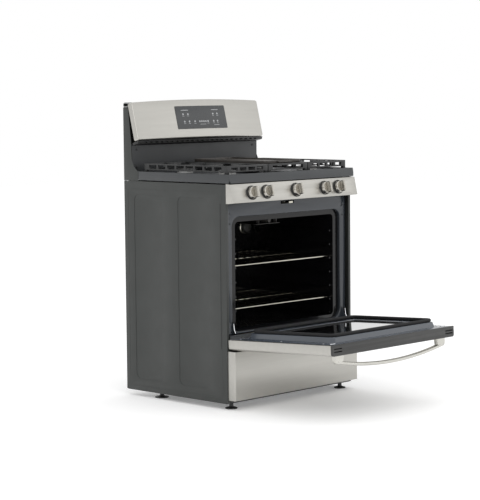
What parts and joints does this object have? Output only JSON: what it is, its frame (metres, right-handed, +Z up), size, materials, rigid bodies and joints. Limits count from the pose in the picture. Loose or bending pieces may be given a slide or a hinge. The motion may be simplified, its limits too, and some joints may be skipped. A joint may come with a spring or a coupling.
{
  "type": "freestanding gas range",
  "caption": "Freestanding gas range with drop-down oven door, sliding racks, storage drawer, cast-iron grates, griddle, turning knobs and a rear control backguard.",
  "frame": {"origin": "on the floor, at the middle of the footprint that the range and its open door cover together", "axes": "+X is the user's right, -Y is the front, +Z is up"},
  "size_m": [0.757, 1.1518, 1.2415],
  "materials": {
    "dark_paint": "semi-gloss fine-texture enamel",
    "frame_enamel": "gloss enamel",
    "cooktop_enamel": "satin enamel",
    "oven_enamel": "gloss porcelain enamel",
    "door_liner_enamel": "gloss enamel",
    "stainless": "fine horizontal brushing",
    "knob_metal": "satin cast metal look",
    "handle_metal": "brushed bar",
    "chrome": "polished wire",
    "cast_iron": "satin black enamel on cast iron",
    "griddle_coating": "dark non-stick coating",
    "burner_aluminium": "cast, dull",
    "burner_cap_enamel": "matt black enamel",
    "zinc_steel": "zinc plated",
    "brass": "machined",
    "black_plastic": "moulded",
    "trim_grey": "satin",
    "display_glass": "gloss dark panel with pale marks",
    "dark_glass": "tinted, reflective",
    "lamp_glass": "frosted lens",
    "gasket_rope": "woven glass-fibre rope",
    "insulation": "glass-fibre batt"
  },
  "bodies": {
    "range_body": {"left_side_panel": "dark_paint", "right_side_panel": "dark_paint", "rear_panel": "zinc_steel", "base_frame": "black_plastic", "leveling_legs": "black_plastic", "front_frame": "frame_enamel", "lower_front_rail": "zinc_steel", "oven_liner": "oven_enamel", "oven_insulation": "insulation", "oven_floor": "oven_enamel", "bake_burner": "zinc_steel", "broil_burner": "zinc_steel", "oven_lamp": "lamp_glass", "cooktop": "cooktop_enamel", "manifold_panel": "stainless", "gas_manifold": "zinc_steel", "burner_valves": "brass", "burner_bases": "burner_aluminium", "burner_caps": "burner_cap_enamel", "backguard_end_plates": "dark_paint", "backguard_rear_cover": "dark_paint", "backguard_lower_panel": "dark_paint", "vent_trim": "black_plastic", "console_shell": "stainless", "control_display": "display_glass", "gas_regulator": "brass", "power_inlet": "black_plastic", "drawer_rails": "zinc_steel", "hinge_receivers": "zinc_steel", "frame_screws": "zinc_steel"},
    "oven_door": {"door_outer_panel": "stainless", "door_top_trim": "trim_grey", "door_inner_panel": "door_liner_enamel", "door_gasket": "gasket_rope", "door_inner_glass": "dark_glass", "door_outer_glass": "dark_glass", "door_insulation": "insulation", "door_handle": "handle_metal", "hinge_arms": "zinc_steel"},
    "storage_drawer": {"drawer_front": "stainless", "drawer_tub": "zinc_steel", "drawer_runners": "zinc_steel"},
    "door_latch": {"door_latch": "chrome"},
    "upper_rack": {"upper_rack": "chrome"},
    "lower_rack": {"lower_rack": "chrome"},
    "left_grate": {"left_grate": "cast_iron"},
    "center_grate": {"center_grate": "cast_iron"},
    "right_grate": {"right_grate": "cast_iron"},
    "griddle": {"griddle": "griddle_coating"},
    "valve_stem_1": {"valve_stem_1": "zinc_steel"},
    "knob_1": {"knob_1": "knob_metal"},
    "valve_stem_2": {"valve_stem_2": "zinc_steel"},
    "knob_2": {"knob_2": "knob_metal"},
    "valve_stem_3": {"valve_stem_3": "zinc_steel"},
    "knob_3": {"knob_3": "knob_metal"},
    "valve_stem_4": {"valve_stem_4": "zinc_steel"},
    "knob_4": {"knob_4": "knob_metal"},
    "valve_stem_5": {"valve_stem_5": "zinc_steel"},
    "knob_5": {"knob_5": "knob_metal"}
  },
  "joints": [
    {"name": "door_hinge", "type": "hinge", "parent": "range_body", "child": "oven_door", "pos_m": [0, -0.04391, 0.277], "axis": [-1, 0, 0], "range_deg": [0, 87.2]},
    {"name": "drawer_slide", "type": "slide", "parent": "range_body", "child": "storage_drawer", "axis": [0, -1, 0], "range_m": [0, 0.38]},
    {"name": "upper_rack_slide", "type": "slide", "parent": "range_body", "child": "upper_rack", "axis": [0, 1, 0], "range_m": [-0.3, 0]},
    {"name": "lower_rack_slide", "type": "slide", "parent": "range_body", "child": "lower_rack", "axis": [0, 1, 0], "range_m": [-0.3, 0]},
    {"name": "latch_swing", "type": "hinge", "parent": "range_body", "child": "door_latch", "pos_m": [0, 0.01589, 0.8155], "axis": [0, 0, 1], "range_deg": [0, 35]},
    {"name": "left_grate_lift", "type": "slide", "parent": "range_body", "child": "left_grate", "axis": [0, 0, 1], "range_m": [0, 0.06]},
    {"name": "center_grate_lift", "type": "slide", "parent": "range_body", "child": "center_grate", "axis": [0, 0, 1], "range_m": [0, 0.06]},
    {"name": "right_grate_lift", "type": "slide", "parent": "range_body", "child": "right_grate", "axis": [0, 0, 1], "range_m": [0, 0.06]},
    {"name": "griddle_lift", "type": "slide", "parent": "center_grate", "child": "griddle", "axis": [0, 0, 1], "range_m": [0, 0.06]},
    {"name": "knob_1_push", "type": "slide", "parent": "range_body", "child": "valve_stem_1", "axis": [0, 0.9746, -0.2239], "range_m": [0, 0.003], "stiffness_N_per_m": 600, "springref_m": -0.003},
    {"name": "knob_1_turn", "type": "hinge", "parent": "valve_stem_1", "child": "knob_1", "pos_m": [-0.263, -0.05261, 0.869], "axis": [0, -0.9746, 0.2239], "range_deg": [0, 240]},
    {"name": "knob_2_push", "type": "slide", "parent": "range_body", "child": "valve_stem_2", "axis": [0, 0.9746, -0.2239], "range_m": [0, 0.003], "stiffness_N_per_m": 600, "springref_m": -0.003},
    {"name": "knob_2_turn", "type": "hinge", "parent": "valve_stem_2", "child": "knob_2", "pos_m": [-0.177, -0.05261, 0.869], "axis": [0, -0.9746, 0.2239], "range_deg": [0, 240]},
    {"name": "knob_3_push", "type": "slide", "parent": "range_body", "child": "valve_stem_3", "axis": [0, 0.9746, -0.2239], "range_m": [0, 0.003], "stiffness_N_per_m": 600, "springref_m": -0.003},
    {"name": "knob_3_turn", "type": "hinge", "parent": "valve_stem_3", "child": "knob_3", "pos_m": [0, -0.05261, 0.869], "axis": [0, -0.9746, 0.2239], "range_deg": [0, 240]},
    {"name": "knob_4_push", "type": "slide", "parent": "range_body", "child": "valve_stem_4", "axis": [0, 0.9746, -0.2239], "range_m": [0, 0.003], "stiffness_N_per_m": 600, "springref_m": -0.003},
    {"name": "knob_4_turn", "type": "hinge", "parent": "valve_stem_4", "child": "knob_4", "pos_m": [0.177, -0.05261, 0.869], "axis": [0, -0.9746, 0.2239], "range_deg": [0, 240]},
    {"name": "knob_5_push", "type": "slide", "parent": "range_body", "child": "valve_stem_5", "axis": [0, 0.9746, -0.2239], "range_m": [0, 0.003], "stiffness_N_per_m": 600, "springref_m": -0.003},
    {"name": "knob_5_turn", "type": "hinge", "parent": "valve_stem_5", "child": "knob_5", "pos_m": [0.263, -0.05261, 0.869], "axis": [0, -0.9746, 0.2239], "range_deg": [0, 240]}
  ]
}
